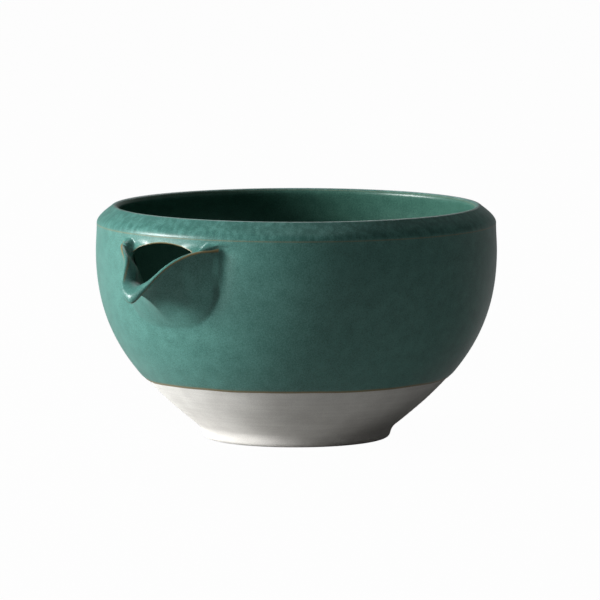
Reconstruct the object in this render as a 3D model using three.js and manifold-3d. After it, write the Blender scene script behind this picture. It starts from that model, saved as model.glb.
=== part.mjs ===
// Spouted stoneware tea bowl: a thrown bowl with a turned foot ring and an in-turned rim,
// a pinched spout over a hole in its wall, and a glaze coat outside and inside.
// Millimetres, +Z up. The spout points along -Y and the foot ring rests on z = 0.

import * as THREE from 'three';
import { mergeVertices } from 'three/addons/utils/BufferGeometryUtils.js';
import Module from 'manifold-3d';

const wasm = await Module();
wasm.setup();

// Foot ring
const FOOT_R = 29.4; // outside of the ring
const FOOT_RING_W = 5; // width of the ring
const FOOT_H = 4.5; // where the bowl's wall starts
const FOOT_FLARE = 1.5; // how far the wall starts outside the ring
const FOOT_EDGE = 1.5; // rounding of the ring's lower outside edge
const FOOT_BEVEL = 0.8; // slope on the inside of the ring
const FOOT_RECESS = 3.5; // depth of the turned hollow inside the ring

// Wall, shoulder and rim, as clay sizes under the glaze
const RIM_Z = 71.55; // crest of the rim
const RIM_IN = 5.25; // from the widest radius in to the crest
const RIM_ROUND = 1; // radius of the thin lip
const RIDGE_DROP = 4.95; // from the crest down to the shoulder's ridge
const RIDGE_IN = 0.2; // from the widest radius in to the ridge
const BELLY_DROP = 13.55; // from the crest down to the widest place
const BELLY_R = 61.35; // radius at the widest place
const WAIST_IN = 0.35; // shallow hollow under the ridge
const WALL_START_TILT = 38.5; // degrees from level, just above the foot
const WALL = 3.9; // thickness at the belly
const FLOOR = 5; // thickness over the hollow of the foot
const FLOOR_TURN = 8; // height over the floor where it runs out into the wall

// Spout: its seam is a U on the wall, and its lips run from the wings down to the tip
const SPOUT_REACH = 15.85; // from the widest wall out to the tip
const WING_DROP = 8.5; // from the crest down to the lips' level ends
const WING_ANGLE = 18; // degrees from the spout's middle to a lip's end
const WING_PROUD = 0.6; // how far the lips' ends stand off the wall
const TIP_DROP = 15.7; // from the lips' ends down to the tip
const TIP_SOFTNESS = 0.2; // share of a lip that rounds the point of the V
const LIP_LEVEL = 0.762; // share of a lip that has left the level of its wing
const SEAM_ANGLE = 18.9; // degrees from the middle to the seam's side
const SEAM_DROP = 8.15; // from the crest down to the seam's upper ends
const SEAM_DEPTH = 24.5; // from there down to the bottom of the U
const SHEET = 3.8; // thickness of the spout's side
const TIP_NOSE = 5.6; // thickness of the drooping lip at the tip
const FOLD_DROP = 6.2; // from the crest down to where the wings fold into the wall
const HOLE_HALF = 11.4; // half the width of the hole through the wall
const HOLE_STEP = 0.9; // the hole is this much inside the spout's passage
const HOLE_SPREAD = 5.5; // degrees that the hole opens out on each side through the wall
const HOLE_FALL = 4.5; // how far its bottom edge falls through the wall
const ARCH_RISE = 2.4; // rise of the hole's arched top
const ARCH_DROP = 9.15; // from the crest down to the arch's ends

// Glaze
const GLAZE_T = 0.4;
const GLAZE_LINE_Z = 19; // where the outside coat ends above the foot
const GLAZE_GAP = 0.05; // between a coat and the clay under it
const FIT = 0.3; // gap between cut pieces
const CREST_PART = 8; // degrees on each side of the crest where the two coats end

const SEGMENTS = 48; // round the bowl
const RIBS = 16; // spout sections on each side of its middle

const radians = THREE.MathUtils.degToRad;
const FOOT_IN_R = FOOT_R - FOOT_RING_W;
const RIDGE_Z = RIM_Z - RIDGE_DROP;
const BELLY_Z = RIM_Z - BELLY_DROP;
const RIM_R = BELLY_R - RIM_IN;
const RIDGE_R = BELLY_R - RIDGE_IN;
const INNER_R = BELLY_R - WALL;
const FLOOR_Z = FOOT_RECESS + FLOOR;

// A closed three.js geometry as a solid that can be joined and cut.
function toSolid(geometry) {
  geometry.deleteAttribute('normal');
  geometry.deleteAttribute('uv');
  const merged = mergeVertices(geometry, 1e-4);
  const corners = merged.index.array;
  const triVerts = [];
  for (let i = 0; i < corners.length; i += 3) {
    const [a, b, c] = [corners[i], corners[i + 1], corners[i + 2]];
    if (a !== b && b !== c && c !== a) triVerts.push(a, b, c);
  }
  return new wasm.Manifold(new wasm.Mesh({
    numProp: 3,
    vertProperties: new Float32Array(merged.attributes.position.array),
    triVerts: new Uint32Array(triVerts),
  }));
}

function toMesh(name, solid, material) {
  const { vertProperties, triVerts } = solid.getMesh();
  const geometry = new THREE.BufferGeometry();
  geometry.setAttribute('position', new THREE.BufferAttribute(vertProperties, 3));
  geometry.setIndex(new THREE.BufferAttribute(triVerts, 1));
  geometry.computeVertexNormals();
  const mesh = new THREE.Mesh(geometry, material);
  mesh.name = name;
  return mesh;
}

// A profile turned round the bowl's axis. x is the radius and y the height.
function turned(points) {
  return toSolid(new THREE.LatheGeometry(points, SEGMENTS).rotateX(Math.PI / 2));
}

// Points along a stretch of a curve, each with the normal that points out of the clay.
function along(curve, count, from = 0, to = 1) {
  return Array.from({ length: count + 1 }, (_, i) => {
    const t = THREE.MathUtils.lerp(from, to, i / count);
    const tangent = curve.getTangent(t);
    return { point: curve.getPoint(t), normal: new THREE.Vector2(tangent.y, -tangent.x) };
  });
}

function offset(stations, distance) {
  return stations.map(({ point, normal }) => {
    const moved = point.clone().addScaledVector(normal, distance);
    return new THREE.Vector2(Math.abs(moved.x) < 1e-6 ? 0 : moved.x, moved.y);
  });
}

// The profile, in order: foot, outside wall, shoulder, rim, inside wall and floor.
const foot = new THREE.Path();
foot.moveTo(0, FOOT_RECESS);
foot.lineTo(FOOT_IN_R - FOOT_BEVEL, FOOT_RECESS);
foot.quadraticCurveTo(FOOT_IN_R, FOOT_RECESS, FOOT_IN_R, FOOT_RECESS - FOOT_BEVEL);
foot.lineTo(FOOT_IN_R + FOOT_BEVEL, 0);
foot.lineTo(FOOT_R - FOOT_EDGE, 0);
foot.quadraticCurveTo(FOOT_R - FOOT_EDGE / 3, 0, FOOT_R - FOOT_EDGE / 6, FOOT_EDGE);
foot.lineTo(FOOT_R, FOOT_H * 0.6);
foot.quadraticCurveTo(FOOT_R + FOOT_FLARE * 0.1, FOOT_H * 0.8, FOOT_R + FOOT_FLARE, FOOT_H);

const wallTilt = radians(WALL_START_TILT);
const wallReach = (BELLY_Z - FOOT_H) * 0.454;
const wallCurve = new THREE.CubicBezierCurve(
  new THREE.Vector2(FOOT_R + FOOT_FLARE, FOOT_H),
  new THREE.Vector2(
    FOOT_R + FOOT_FLARE + wallReach * Math.cos(wallTilt),
    FOOT_H + wallReach * Math.sin(wallTilt)),
  new THREE.Vector2(BELLY_R, BELLY_Z - (BELLY_Z - FOOT_H) * 0.477),
  new THREE.Vector2(BELLY_R, BELLY_Z));
const waistCurve = new THREE.CubicBezierCurve(
  new THREE.Vector2(BELLY_R, BELLY_Z),
  new THREE.Vector2(BELLY_R, THREE.MathUtils.lerp(BELLY_Z, RIDGE_Z, 0.3)),
  new THREE.Vector2(RIDGE_R - WAIST_IN, THREE.MathUtils.lerp(BELLY_Z, RIDGE_Z, 0.75)),
  new THREE.Vector2(RIDGE_R, RIDGE_Z));

const rimCentre = new THREE.Vector2(RIM_R, RIM_Z - RIM_ROUND);
function rimArc(fromDegrees, toDegrees) {
  return new THREE.EllipseCurve(
    rimCentre.x, rimCentre.y, RIM_ROUND, RIM_ROUND, radians(fromDegrees), radians(toDegrees));
}
const rimOutside = rimArc(50, 90 - CREST_PART);
const rimInside = rimArc(90 + CREST_PART, 190);

const rimStart = rimOutside.getPoint(0);
const rimEnd = rimInside.getPoint(1);
const shoulderCurve = new THREE.CubicBezierCurve(
  new THREE.Vector2(RIDGE_R, RIDGE_Z),
  new THREE.Vector2(RIDGE_R, RIDGE_Z + RIDGE_DROP * 0.44),
  rimStart.clone().addScaledVector(rimOutside.getTangent(0), -RIDGE_DROP * 0.4),
  rimStart);
const undercutCurve = new THREE.CubicBezierCurve(
  rimEnd,
  rimEnd.clone().addScaledVector(rimInside.getTangent(1), RIDGE_DROP * 0.44),
  new THREE.Vector2(INNER_R, RIDGE_Z),
  new THREE.Vector2(INNER_R, BELLY_Z));
// Where a curve that rises all the way reaches a height.
function parameterAt(curve, height) {
  let [low, high] = [0, 1];
  for (let i = 0; i < 40; i += 1) {
    const middle = (low + high) / 2;
    if (curve.getPoint(middle).y < height) low = middle;
    else high = middle;
  }
  return low;
}

// The inside keeps the wall's thickness down to the turn, and then sweeps in to the floor.
const turn = parameterAt(wallCurve, FLOOR_Z + FLOOR_TURN);
const innerWall = along(wallCurve, 7, turn, 1).reverse().map(({ point, normal }) => ({
  point: point.clone().addScaledVector(normal, -WALL),
  normal: normal.clone().negate(),
}));
const floorStart = innerWall.at(-1).point;
const floorCurve = new THREE.CubicBezierCurve(
  floorStart,
  floorStart.clone().addScaledVector(wallCurve.getTangent(turn), -FLOOR_TURN * 1.4),
  new THREE.Vector2(floorStart.x * 0.45, FLOOR_Z),
  new THREE.Vector2(0, FLOOR_Z));

const glazeStart = parameterAt(wallCurve, GLAZE_LINE_Z);
const bareWall = along(wallCurve, 4, 0, glazeStart);
const coatedOutside = [
  ...along(wallCurve, 9, glazeStart, 1),
  ...along(waistCurve, 3).slice(1),
  ...along(shoulderCurve, 5).slice(1),
  ...along(rimOutside, 2).slice(1),
];
const coatedInside = [
  ...along(rimInside, 3),
  ...along(undercutCurve, 3).slice(1),
  ...innerWall.slice(1),
  ...along(floorCurve, 5).slice(1),
];
const clayProfile = [
  ...foot.getPoints(3),
  ...offset(bareWall, 0).slice(1),
  ...offset(coatedOutside, 0).slice(1),
  ...offset(coatedInside, 0),
];

// The same bowl filled to its axis and grown by a distance, to cut what seats on it.
function filledBowl(grown) {
  const outside = offset([...bareWall, ...coatedOutside.slice(1)], grown);
  return turned([
    new THREE.Vector2(0, outside[0].y),
    ...outside,
    new THREE.Vector2(0, outside.at(-1).y),
  ]);
}

function wallRadius(height) {
  if (height <= BELLY_Z) return wallCurve.getPoint(parameterAt(wallCurve, height)).x;
  return waistCurve.getPoint(parameterAt(waistCurve, height)).x;
}

// A point from its angle round the axis, where 0 is the spout's middle, radius and height.
function polar(degrees, radius, height) {
  return new THREE.Vector3(
    radius * Math.sin(radians(degrees)), -radius * Math.cos(radians(degrees)), height);
}

// Spout. Each rib is one cross-section: side is 0 at the tip and -1 or 1 at a wing.
const WING_Z = RIM_Z - WING_DROP;
const SEAM_Z = RIM_Z - SEAM_DROP;
const SEAM_POWER = 2 / 2.8; // how square the U is
const SEAM_END = radians(88); // the U stops a little short, which leaves blunt wing ends
const LIP_SWEEP = 1.45; // how much the lips bow forward in plan
const LIP_PLUNGE = 2.25; // how steeply they run down to the tip
const wingEnd = polar(WING_ANGLE, wallRadius(WING_Z) + WING_PROUD, WING_Z);
const TIP_U = BELLY_R + SPOUT_REACH;

function lipEdge(side, grown) {
  const a = Math.abs(side);
  const soft = Math.hypot(a, TIP_SOFTNESS) - TIP_SOFTNESS;
  const fall = Math.max(0, 1 - soft / LIP_LEVEL) ** LIP_PLUNGE;
  const u = THREE.MathUtils.lerp(TIP_U, -wingEnd.y, a ** LIP_SWEEP) + grown;
  return new THREE.Vector3(wingEnd.x * side + grown * side, -u, WING_Z - TIP_DROP * fall);
}

// Level direction from a lip towards the middle of the passage. It turns softly at the tip.
function inward(side) {
  const turning = side / Math.hypot(side, TIP_SOFTNESS) ** (2 - LIP_SWEEP);
  const forward = (TIP_U + wingEnd.y) * LIP_SWEEP * turning;
  return new THREE.Vector3(-forward, wingEnd.x, 0).normalize();
}

function seamPoint(side, halfAngle, depth, radiusIn) {
  const turn = Math.min(Math.abs(side) * SEAM_END, Math.PI / 2);
  const height = SEAM_Z - depth * Math.max(0, Math.cos(turn)) ** SEAM_POWER;
  const angle = Math.sign(side) * halfAngle * Math.sin(turn) ** SEAM_POWER;
  return polar(angle, wallRadius(height) - radiusIn, height);
}

const PASSAGE_ANGLE = THREE.MathUtils.radToDeg(Math.asin((HOLE_HALF + HOLE_STEP) / BELLY_R));
const PASSAGE_DEPTH = SEAM_DEPTH - SHEET * 1.25;
const ROOT_IN = 3.2; // the ribs run this far into the wall before they are cut
const WING_FOLD = 0.74; // share of a lip past which it folds into the wall over the hole

// A lip's section, from its outer face over the edge to its inner face. Each point is a share
// of the sheet's thickness through it, and millimetres out past the edge.
const SIDE_LIP = [[0, -1.6], [0.03, 0.1], [0.2, 0.7], [0.46, 0.85], [0.75, 0.1], [1, -1.8]];
const TIP_LIP = [[0.42, -3.6], [0, 0], [0.16, 0.35], [0.46, 0.3], [0.78, -1.1], [1, -3.8]];

function rib(side, grown, filled) {
  const a = Math.abs(side);
  const near = Math.exp(-((a / TIP_SOFTNESS) ** 2)); // 1 at the tip, 0 along the sides
  const tilt = radians(78 * THREE.MathUtils.smoothstep(a, 0.1, 0.75));
  const into = inward(side);
  const up = new THREE.Vector3(0, 0, 1);
  const out = into.clone().multiplyScalar(-Math.cos(tilt)).addScaledVector(up, Math.sin(tilt));
  const through = into.clone().multiplyScalar(Math.sin(tilt)).addScaledVector(up, Math.cos(tilt));
  const sheet = THREE.MathUtils.lerp(SHEET, TIP_NOSE, near);
  const edge = lipEdge(side, grown);
  const lip = SIDE_LIP.map(([share, past], i) => {
    const depth = sheet * THREE.MathUtils.lerp(share, TIP_LIP[i][0], near);
    return edge.clone()
      .addScaledVector(through, depth + grown * Math.sign(share - 0.46))
      .addScaledVector(out, THREE.MathUtils.lerp(past, TIP_LIP[i][1], near) + 1.5 * grown);
  });

  const proud = GLAZE_GAP + GLAZE_T + grown;
  const seam = seamPoint(side, SEAM_ANGLE + grown, SEAM_DEPTH + grown, -proud);
  const length = seam.distanceTo(lip[0]);
  const outside = new THREE.CubicBezierCurve3(
    lip[0],
    lip[0].clone().addScaledVector(out, -0.36 * length),
    seam.clone().addScaledVector(up, 0.24 * length).addScaledVector(into, -0.07 * length),
    seam).getPoints(6);
  const seamRoot = seamPoint(side, SEAM_ANGLE + grown, SEAM_DEPTH + grown, ROOT_IN);

  // Past the hole's corner the sheet is solid, and its top folds up into the wall.
  const folded = THREE.MathUtils.smoothstep(a, WING_FOLD, WING_FOLD + 0.12);
  const foldZ = RIM_Z - FOLD_DROP + 2 * grown;
  const foldAngle = THREE.MathUtils.radToDeg(Math.atan2(edge.x, -edge.y));
  const fold = polar(foldAngle, wallRadius(foldZ) - ROOT_IN, foldZ);
  const inner = lip.at(-1).clone().lerp(fold, folded);
  if (filled) {
    const back = inner.clone();
    const flat = Math.hypot(back.x, back.y);
    back.x *= (wallRadius(SEAM_Z) - ROOT_IN) / flat;
    back.y *= (wallRadius(SEAM_Z) - ROOT_IN) / flat;
    return [...lip.slice(1, -1).reverse(), ...outside, seamRoot, back, inner];
  }
  const passageRoot = seamPoint(side, PASSAGE_ANGLE, PASSAGE_DEPTH, ROOT_IN);
  const reach = passageRoot.distanceTo(inner);
  const inside = new THREE.CubicBezierCurve3(
    passageRoot,
    passageRoot.clone().addScaledVector(up, 0.2 * reach),
    inner.clone().addScaledVector(out, -0.3 * reach * (1 - folded)),
    inner).getPoints(6);
  return [...lip.slice(1, -1).reverse(), ...outside, seamRoot, ...inside];
}

// Joins closed sections of equal length into one closed solid with flat end caps.
function loft(sections) {
  const count = sections[0].length;
  const index = [];
  for (let s = 0; s + 1 < sections.length; s += 1) {
    for (let i = 0; i < count; i += 1) {
      const [a, b] = [s * count + i, s * count + (i + 1) % count];
      index.push(a, b, a + count, b, b + count, a + count);
    }
  }
  const last = (sections.length - 1) * count;
  for (let i = 1; i + 1 < count; i += 1) {
    index.push(0, i + 1, i, last, last + i, last + i + 1);
  }
  const geometry = new THREE.BufferGeometry().setFromPoints(sections.flat());
  geometry.setIndex(index);
  return toSolid(geometry);
}

function spoutLoft(grown, filled) {
  const sides = Array.from({ length: 2 * RIBS + 1 }, (_, i) => {
    const share = (i - RIBS) / RIBS;
    return Math.sign(share) * Math.abs(share) ** 1.25;
  });
  if (grown > 0) {
    const past = 1 + 1.5 * grown / wingEnd.x;
    sides.unshift(-past);
    sides.push(past);
  }
  return loft(sides.map((side) => rib(side, grown, filled)));
}

// The hole through the wall is a U with an arched top. It starts a little inside the passage
// and opens wider and lower towards the inside of the bowl.
function holeOutline(depthIn, opened, grown) {
  const halfAngle = THREE.MathUtils.radToDeg(Math.asin(HOLE_HALF / BELLY_R));
  const half = halfAngle + opened * HOLE_SPREAD + grown;
  const springZ = RIM_Z - ARCH_DROP;
  const fall = springZ - (SEAM_Z - PASSAGE_DEPTH + HOLE_STEP) + opened * HOLE_FALL + grown;
  const outline = [];
  for (let i = 0; i <= 12; i += 1) {
    const turn = radians(THREE.MathUtils.lerp(-90, 90, i / 12));
    const across = Math.sign(turn) * Math.abs(Math.sin(turn)) ** SEAM_POWER;
    outline.push([half * across, springZ - fall * Math.max(0, Math.cos(turn)) ** SEAM_POWER]);
  }
  for (let i = 1; i < 6; i += 1) {
    const across = THREE.MathUtils.lerp(1, -1, i / 6);
    outline.push([half * across, springZ + (ARCH_RISE + grown) * (1 - across ** 2)]);
  }
  return outline.map(([angle, height]) => polar(angle, wallRadius(height) - depthIn, height));
}

function wallHole(grown) {
  return loft([
    holeOutline(WALL * 4, 1, grown),
    holeOutline(WALL, 1, grown),
    holeOutline(0, 0, grown),
    holeOutline(-SPOUT_REACH / 2, 0, grown),
  ]);
}

const clay = new THREE.MeshStandardMaterial({ color: '#c4c0b4', roughness: 0.9, metalness: 0 });
const glazeOutside = new THREE.MeshStandardMaterial({
  color: '#5d8578', roughness: 0.42, metalness: 0,
});
const glazeOnSpout = glazeOutside.clone();
const glazeInside = new THREE.MeshStandardMaterial({
  color: '#47665a', roughness: 0.4, metalness: 0,
});

// A coat can flake to crumbs where it is cut to nothing beside a lip. Only its one sheet is kept.
function sheetOf(solid) {
  return solid.decompose().reduce((kept, piece) => (piece.volume() > kept.volume() ? piece : kept));
}

// A coat's profile: out along its face and back along the clay.
const outsideFace = offset(coatedOutside, GLAZE_GAP + GLAZE_T);
const outsideProfile = [
  ...outsideFace,
  ...offset(coatedOutside, GLAZE_GAP).reverse(),
  outsideFace[0],
];
const insideProfile = [
  ...offset(coatedInside, GLAZE_GAP).reverse(),
  ...offset(coatedInside, GLAZE_GAP + GLAZE_T),
];

const bowl = turned(clayProfile).subtract(wallHole(0));
const spout = spoutLoft(0, false).subtract(filledBowl(FIT));
const outerCoat = turned(outsideProfile)
  .subtract(spoutLoft(FIT, true))
  .subtract(wallHole(FIT));
const innerCoat = turned(insideProfile).subtract(wallHole(FIT));

const pot = new THREE.Group();
pot.name = 'spouted_bowl';
pot.add(
  toMesh('bowl_body', bowl, clay),
  toMesh('spout', spout, glazeOnSpout),
  toMesh('outer_glaze', sheetOf(outerCoat), glazeOutside),
  toMesh('inner_glaze', innerCoat, glazeInside));

// The origin is under the middle of the whole piece, on the plane that it rests on.
const box = new THREE.Box3().setFromObject(pot);
pot.position.y = -(box.min.y + box.max.y) / 2;

export default pot;
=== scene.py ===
# %% [markdown]
# # A spouted stoneware bowl
# This notebook dresses the CAD model of a small pouring bowl for tea. The real bowl is thrown
# in pale stoneware, its foot ring is turned, its wall opens into a pinched spout, and a satin
# green glaze covers all but the lowest part. The CAD solids fix the bowl's main sizes. The
# pieces made here carry the soft curves, the glaze and the bare clay that a viewer sees.

# %% Load the frame
import math

import bmesh
import bpy
import numpy as np
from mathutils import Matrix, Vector


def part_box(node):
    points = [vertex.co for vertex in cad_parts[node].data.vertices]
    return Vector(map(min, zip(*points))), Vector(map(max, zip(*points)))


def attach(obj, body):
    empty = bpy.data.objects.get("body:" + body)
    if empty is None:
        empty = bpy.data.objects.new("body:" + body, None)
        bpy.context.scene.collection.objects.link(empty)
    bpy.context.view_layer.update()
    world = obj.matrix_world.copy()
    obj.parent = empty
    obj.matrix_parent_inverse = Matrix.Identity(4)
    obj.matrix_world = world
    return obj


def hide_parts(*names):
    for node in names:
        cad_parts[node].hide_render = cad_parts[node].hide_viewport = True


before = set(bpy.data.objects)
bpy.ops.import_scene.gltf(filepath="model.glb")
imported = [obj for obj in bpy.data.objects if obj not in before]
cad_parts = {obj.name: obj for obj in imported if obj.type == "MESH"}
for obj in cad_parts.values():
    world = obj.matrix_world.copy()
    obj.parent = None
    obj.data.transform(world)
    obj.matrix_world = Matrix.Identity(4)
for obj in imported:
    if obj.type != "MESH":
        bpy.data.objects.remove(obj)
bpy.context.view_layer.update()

# %% [markdown]
# ## Sizes
# Potters think in millimetres, so the shapes are worked out in millimetres round the bowl's own
# axis and turned into metres when a mesh is made. The axis, the belly, the height and the tip
# come from the frame, so that the skin sits exactly on the CAD bowl. The other sizes are those
# that a potter sets by eye: the foot, the wall, the ridge and the rim.

# %% Sizes from the frame
MM = 0.001
glaze_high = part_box("outer_glaze")[1]
spout_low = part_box("spout")[0]
BELLY_R = glaze_high.x / MM
AXIS_Y = glaze_high.y / MM - BELLY_R
HEIGHT = glaze_high.z / MM
TIP_U = AXIS_Y - spout_low.y / MM
print(f"belly radius {BELLY_R:.2f}, axis at y {AXIS_Y:.2f}, height {HEIGHT:.2f}, tip at {TIP_U:.2f}")

# %% Sizes of the thrown bowl
GLAZE_T = 0.4            # the coat's thickness
GLAZE_LINE_Z = 19.0      # where the coat ends above the foot
FOOT_R = 29.4            # outside of the foot ring
FOOT_RING_W = 5.0
FOOT_RECESS = 3.5        # depth of the turned hollow inside the ring
FOOT_H = 4.5             # where the wall starts above the ring
FOOT_FLARE = 1.5         # and how far outside it
WALL_T = 3.9
WALL_TILT = math.radians(38.5)  # from level, where the wall leaves the foot
WALL_SWEEP = 0.46        # share of the wall's rise that each handle of its curve takes
BELLY_Z = HEIGHT - 14.0
RIDGE_Z = HEIGHT - 5.2
RIDGE_R = BELLY_R - 0.28
RIM_ROUND = 1.35         # radius of the glazed rim
RIM_R = BELLY_R - 5.7    # radius at the crest of the rim
FLOOR_Z = 8.9
print(f"belly at {BELLY_Z:.1f}, ridge at {RIDGE_Z:.1f}, rim {RIM_R:.1f} from the axis")

# %% [markdown]
# ## Profiles
# A thrown form is one profile turned round an axis. The profile is made of a few Bezier curves
# and one arc, because a handful of handles gives the long even sweep that a potter's rib gives,
# where a list of measured points would put small dents in it.

# %% Curves for a profile


def cubic(a, b, c, d, t):
    """Points of a Bezier curve from a to d, with handles b and c, at the shares t of its way."""
    return (1 - t) ** 3 * a + 3 * (1 - t) ** 2 * t * b + 3 * (1 - t) * t ** 2 * c + t ** 3 * d


def bezier(a, b, c, d, count):
    ends_and_handles = (np.asarray(p, float) for p in (a, b, c, d))
    return cubic(*ends_and_handles, np.linspace(0, 1, count + 1)[:, None])


def arc(centre, radius, start, end, count):
    angle = np.radians(np.linspace(start, end, count + 1))
    return np.column_stack([centre[0] + radius * np.cos(angle), centre[1] + radius * np.sin(angle)])


def pushed(profile, distance):
    """The profile moved along its own normals; forwards, the normal is on the right."""
    step = np.gradient(profile, axis=0)
    normal = np.column_stack([step[:, 1], -step[:, 0]])
    return profile + distance * normal / np.linalg.norm(normal, axis=1)[:, None]


# %% The outside, from the foot up to the ridge
BELLY_HANDLE = 2.8       # how far up the wall keeps the belly's direction
RIDGE_HANDLE = 2.4       # and how far down it keeps the ridge's
WAIST_IN = 0.06          # how far it draws in between the two
wall_rise = BELLY_Z - FOOT_H
wall_start = np.array([FOOT_R + FOOT_FLARE, FOOT_H])
leaving = np.array([math.cos(WALL_TILT), math.sin(WALL_TILT)])
bare_wall = bezier(
    wall_start, wall_start + WALL_SWEEP * wall_rise * leaving,
    (BELLY_R - GLAZE_T, BELLY_Z - WALL_SWEEP * wall_rise), (BELLY_R - GLAZE_T, BELLY_Z), 200)
glazed_wall = pushed(bare_wall, GLAZE_T)
waist = bezier(
    (BELLY_R, BELLY_Z), (BELLY_R, BELLY_Z + BELLY_HANDLE),
    (RIDGE_R - WAIST_IN, RIDGE_Z - RIDGE_HANDLE), (RIDGE_R, RIDGE_Z), 60)
outside_line = np.concatenate([glazed_wall[:-1], waist])


def wall_radius(z):
    """Radius of the glazed outside at a height."""
    return np.interp(z, outside_line[:, 1], outside_line[:, 0])


print(f"the glazed wall is {wall_radius(GLAZE_LINE_Z):.1f} from the axis at the glaze line")

# %% The shoulder, the rim and the undercut inside it
RIM_FROM, RIM_TO = 50, 190  # degrees up from level, where the rim's round starts and ends
SHOULDER_LEAN = (-0.32, 1.9)  # the shoulder's handle at the ridge
SHOULDER_HANDLE = 2.0    # length of its handle at the rim
UNDERCUT_LEAN = (0.35, -2.0)  # the undercut's handle at the rim
UNDERCUT_HANDLE_Z = HEIGHT - 5.5  # top of its upright handle over the belly
rim = arc((RIM_R, HEIGHT - RIM_ROUND), RIM_ROUND, RIM_FROM, RIM_TO, 14)
rim_slope = np.array([math.sin(math.radians(RIM_FROM)), -math.cos(math.radians(RIM_FROM))])
shoulder = bezier(
    (RIDGE_R, RIDGE_Z), (RIDGE_R + SHOULDER_LEAN[0], RIDGE_Z + SHOULDER_LEAN[1]),
    rim[0] + SHOULDER_HANDLE * rim_slope, rim[0], 14)
inner_r = BELLY_R - 2 * GLAZE_T - WALL_T
undercut = bezier(
    rim[-1], rim[-1] + UNDERCUT_LEAN, (inner_r, UNDERCUT_HANDLE_Z), (inner_r, BELLY_Z), 16)
print(f"{len(shoulder) + len(rim) + len(undercut)} points from the ridge over the rim and in")

# %% [markdown]
# ## Columns and the spout's lips
# The spout looks as if the wall had been slit while wet and drawn out between finger and thumb.
# It could be a shape of its own, joined on, but then a join would show where the real glaze
# flows over one surface. So the glazed skin is one grid, of columns round the bowl and rows along
# the profile. The grid has a slit, and the rows under it are pulled out and down into a beak.
# Columns crowd together there, because that is where the surface bends most.

# %% Columns round the bowl
SLIT_ANGLE = 18.0        # degrees from the spout's middle to the end of a lip
CORNER = 0.74            # share of the lip at which the hole's corner lies
NEAR = 1e-4              # shares closer than this are the same column
corner_angle = CORNER * SLIT_ANGLE
# Each stretch ends at an angle, in degrees from the spout's middle, and has a number of columns.
STRETCHES = ((corner_angle, 30), (SLIT_ANGLE, 14), (23, 14), (28, 7), (180, 75))
half = np.zeros(1)
for end_angle, steps in STRETCHES:
    half = np.append(half, np.linspace(half[-1], end_angle, steps + 1)[1:])
theta = np.concatenate([-half[:0:-1], half])[1:]
columns = len(theta)
side = theta / SLIT_ANGLE
share = np.abs(side)
in_slit = share < 1 + NEAR
in_hole = share < CORNER + NEAR
print(f"{columns} columns, {in_slit.sum()} in the slit, {in_hole.sum()} in the hole")

# %% Soft steps, and points from angles and heights
UP = np.array([0.0, 0.0, 1.0])


def unit(v):
    return v / np.linalg.norm(v, axis=-1, keepdims=True)


def smooth(x, low, high):
    """A soft step: 0 up to low and 1 from high on."""
    t = np.clip((x - low) / (high - low), 0, 1)
    return t * t * (3 - 2 * t)


def band(x, rise_from, rise_to, fall_from, fall_to):
    """A soft step up and another one down again."""
    return smooth(x, rise_from, rise_to) * (1 - smooth(x, fall_from, fall_to))


def bell(x, middle, width):
    """1 at the middle, and softly down to 0 on both sides."""
    return np.exp(-(((x - middle) / width) ** 2))


def polar(degrees, r, z):
    """Points from angles, where 0 is the spout's middle, radii and heights."""
    a = np.radians(degrees)
    return np.stack([r * np.sin(a), -r * np.cos(a), z + 0 * a], axis=-1)


def on_wall(degrees, z, proud=0.0):
    """Points on the glazed outside, or standing proud of it."""
    return polar(degrees, wall_radius(z) + proud, z)


# %% The lips' outer edge, from one end round the tip to the other
WING_Z = 63.05           # height of the lips' level ends
WING_PROUD = 0.9         # how far the ends stand off the wall
TIP_DROP = 15.7          # from the ends down to the tip
TIP_SOFT = 0.2           # how round the V of the tip is
TIP_BACK = 0.3           # the edge stops this far behind the CAD tip, and its section reaches it
LIP_LEVEL = 0.762        # share of a lip that has left the level of its end
LIP_PLUNGE = 2.25        # how steeply it runs down to the tip
LIP_SWEEP = 1.449        # how much it bows forward, seen from above
LEFT_PINCH = 1.5         # the left lip is squeezed in by this much
PINCH_AT, PINCH_W = 0.52, 0.17  # half way along
BULGE, BULGE_AT, BULGE_W = 0.65, 0.18, 0.11  # and swells out by a share of that near the tip
wing_r = wall_radius(WING_Z) + WING_PROUD
wing_u = wing_r * math.cos(math.radians(SLIT_ANGLE))
wing_v = wing_r * math.sin(math.radians(SLIT_ANGLE))
lip_u = TIP_U - TIP_BACK
lip_side = np.clip(side, -1, 1)
lip_share = np.abs(lip_side)
soft_share = np.hypot(lip_share, TIP_SOFT) - TIP_SOFT
fall = np.clip(1 - soft_share / LIP_LEVEL, 0, 1) ** LIP_PLUNGE
pinch = LEFT_PINCH * (bell(lip_share, PINCH_AT, PINCH_W) - BULGE * bell(lip_share, BULGE_AT, BULGE_W))
lip = np.column_stack([
    wing_v * lip_side + np.where(side < 0, pinch, 0),
    -(lip_u + (wing_u - lip_u) * lip_share ** LIP_SWEEP),
    WING_Z - TIP_DROP * fall])
print("tip at", np.round(lip[np.argmin(share)], 1), "right end at", np.round(lip[in_slit][-1], 1))

# %% [markdown]
# ## The roll of the lip
# The sheet is about 2 mm thick at its edge, rounded by wet fingers and by the glaze. At the tip,
# where the clay gathered, it is thicker and lies nearly level, and along the sides it stands
# nearly upright. A bevel on a sharp edge would give one radius all the way. Instead two drawn
# sections are blended along the lip, and the blend is turned with the sheet.

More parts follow.
